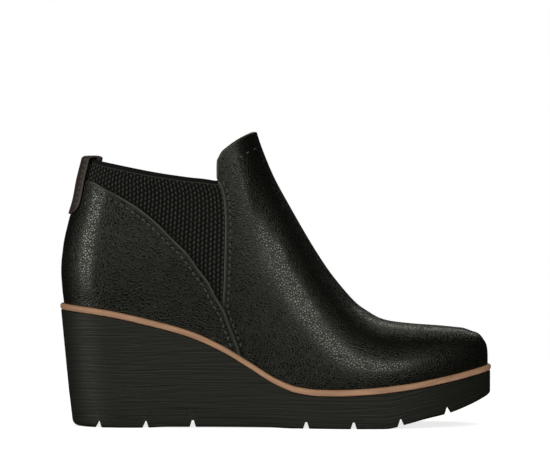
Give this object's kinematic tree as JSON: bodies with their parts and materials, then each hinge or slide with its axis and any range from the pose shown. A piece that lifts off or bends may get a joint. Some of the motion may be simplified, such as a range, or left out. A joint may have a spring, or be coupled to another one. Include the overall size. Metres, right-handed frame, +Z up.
{
  "type": "wedge ankle boot",
  "caption": "Pull-on wedge ankle boot with elastic side gores, a heel tab, a thin contrasting welt and a moulded wedge sole with toe spring.",
  "frame": {"origin": "middle of the shoe's length and width, on the floor it stands on", "axes": "+X towards the toe, +Y towards the inner side of the foot, +Z up"},
  "size_m": [0.246, 0.0914, 0.1674],
  "materials": {
    "wedge_sole": "matt black moulding with fine lengthwise streaks",
    "welt": "plain tan edge",
    "footbed": "matt lining",
    "upper_leather": "black, fine pebble grain, soft sheen",
    "elastic": "black ribbed stretch knit",
    "tab": "dark brown-black, matt"
  },
  "bodies": {
    "root": {"outsole": "wedge_sole", "midsole": "welt", "insole": "footbed", "upper": "upper_leather", "quarter": "upper_leather", "gore_outer": "elastic", "gore_inner": "elastic", "heel_tab": "tab"}
  },
  "joints": []
}
